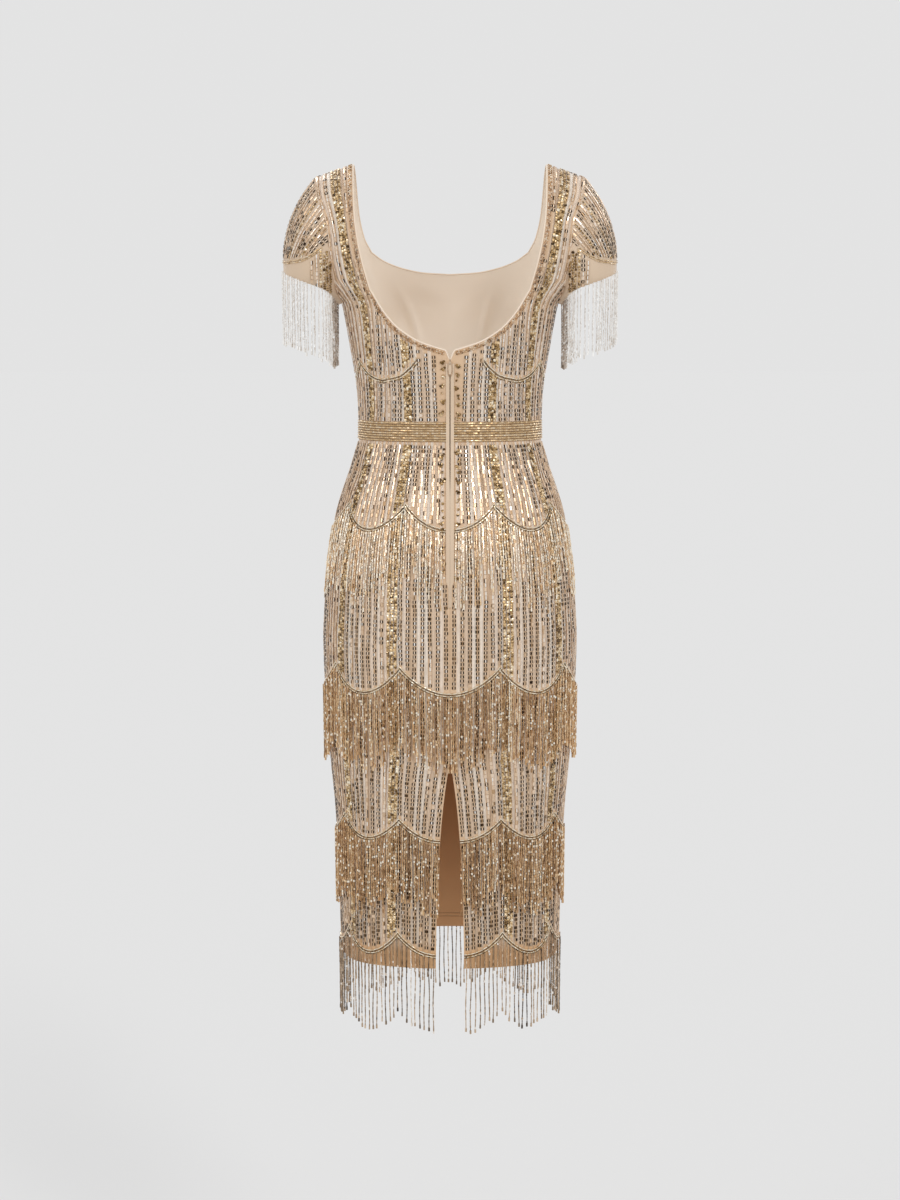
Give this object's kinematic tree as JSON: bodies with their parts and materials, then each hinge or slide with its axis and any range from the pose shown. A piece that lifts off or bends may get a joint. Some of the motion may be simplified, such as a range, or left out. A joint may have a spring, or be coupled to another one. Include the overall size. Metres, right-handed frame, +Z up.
{
  "type": "dress",
  "caption": "Beaded midi dress with a low scooped back, cap sleeves, a belt panel, scalloped tiers of bead fringe, a back zip and a back vent.",
  "frame": {"origin": "midway between the two straps at the height of their shoulder seams' inner ends, where the wearer's shoulders carry the dress", "axes": "+Z up; the front faces -Y and the back, with its zip and vent, faces +Y; +X is the wearer's left"},
  "size_m": [0.448, 0.2552, 1.1539],
  "materials": {
    "bodice_front": "lined nude net with rows of silver and gold sequins and beads",
    "bodice_back_left": "lined nude net with rows of silver and gold sequins and beads",
    "bodice_back_right": "lined nude net with rows of silver and gold sequins and beads",
    "waistband_front": "net covered with close rows of small gold beads",
    "waistband_back_left": "net covered with close rows of small gold beads",
    "waistband_back_right": "net covered with close rows of small gold beads",
    "skirt_front": "lined nude net with rows of silver and gold sequins and beads",
    "skirt_back_left": "lined nude net with rows of silver and gold sequins and beads",
    "skirt_back_right": "lined nude net with rows of silver and gold sequins and beads",
    "sleeve_left": "lined nude net with rows of silver and gold sequins and beads",
    "sleeve_right": "lined nude net with rows of silver and gold sequins and beads",
    "neck_band_front": "close lines of small gold beads",
    "neck_band_back_left": "close lines of small gold beads",
    "neck_band_back_right": "close lines of small gold beads",
    "bodice_trim_front": "close lines of small gold beads",
    "bodice_trim_back_left": "close lines of small gold beads",
    "bodice_trim_back_right": "close lines of small gold beads",
    "sleeve_trim_left": "close lines of small gold beads",
    "sleeve_trim_right": "close lines of small gold beads",
    "fringe_hip_front": "strands of gold and bronze beads",
    "fringe_hip_back_left": "strands of gold and bronze beads",
    "fringe_hip_back_right": "strands of gold and bronze beads",
    "fringe_thigh_front": "strands of gold and bronze beads",
    "fringe_thigh_back_left": "strands of gold and bronze beads",
    "fringe_thigh_back_right": "strands of gold and bronze beads",
    "fringe_knee_front": "strands of gold and bronze beads",
    "fringe_knee_back_left": "strands of gold and bronze beads",
    "fringe_knee_back_right": "strands of gold and bronze beads",
    "fringe_hem_front": "strands of gold and bronze beads",
    "fringe_hem_back_left": "strands of gold and bronze beads",
    "fringe_hem_back_right": "strands of gold and bronze beads",
    "fringe_sleeve_left": "strands of clear and pale beads",
    "fringe_sleeve_right": "strands of clear and pale beads",
    "zip": "woven nude tape and coil",
    "zip_slider": "pale enamel",
    "zip_pull_tab": "pale enamel"
  },
  "bodies": {
    "dress": {"bodice_front": "bodice_front", "bodice_back_left": "bodice_back_left", "bodice_back_right": "bodice_back_right", "waistband_front": "waistband_front", "waistband_back_left": "waistband_back_left", "waistband_back_right": "waistband_back_right", "skirt_front": "skirt_front", "skirt_back_left": "skirt_back_left", "skirt_back_right": "skirt_back_right", "sleeve_left": "sleeve_left", "sleeve_right": "sleeve_right", "neck_band_front": "neck_band_front", "neck_band_back_left": "neck_band_back_left", "neck_band_back_right": "neck_band_back_right", "bodice_trim_front": "bodice_trim_front", "bodice_trim_back_left": "bodice_trim_back_left", "bodice_trim_back_right": "bodice_trim_back_right", "sleeve_trim_left": "sleeve_trim_left", "sleeve_trim_right": "sleeve_trim_right", "fringe_hip_front": "fringe_hip_front", "fringe_hip_back_left": "fringe_hip_back_left", "fringe_hip_back_right": "fringe_hip_back_right", "fringe_thigh_front": "fringe_thigh_front", "fringe_thigh_back_left": "fringe_thigh_back_left", "fringe_thigh_back_right": "fringe_thigh_back_right", "fringe_knee_front": "fringe_knee_front", "fringe_knee_back_left": "fringe_knee_back_left", "fringe_knee_back_right": "fringe_knee_back_right", "fringe_hem_front": "fringe_hem_front", "fringe_hem_back_left": "fringe_hem_back_left", "fringe_hem_back_right": "fringe_hem_back_right", "fringe_sleeve_left": "fringe_sleeve_left", "fringe_sleeve_right": "fringe_sleeve_right", "zip": "zip", "zip_slider": "zip_slider"},
    "pull_tab": {"zip_pull_tab": "zip_pull_tab"}
  },
  "joints": [
    {"name": "pull_tab_hinge", "type": "hinge", "parent": "dress", "child": "pull_tab", "pos_m": [0, 0.10056, -0.2585], "axis": [1, 0, 0], "range_deg": [-6, 165]}
  ]
}
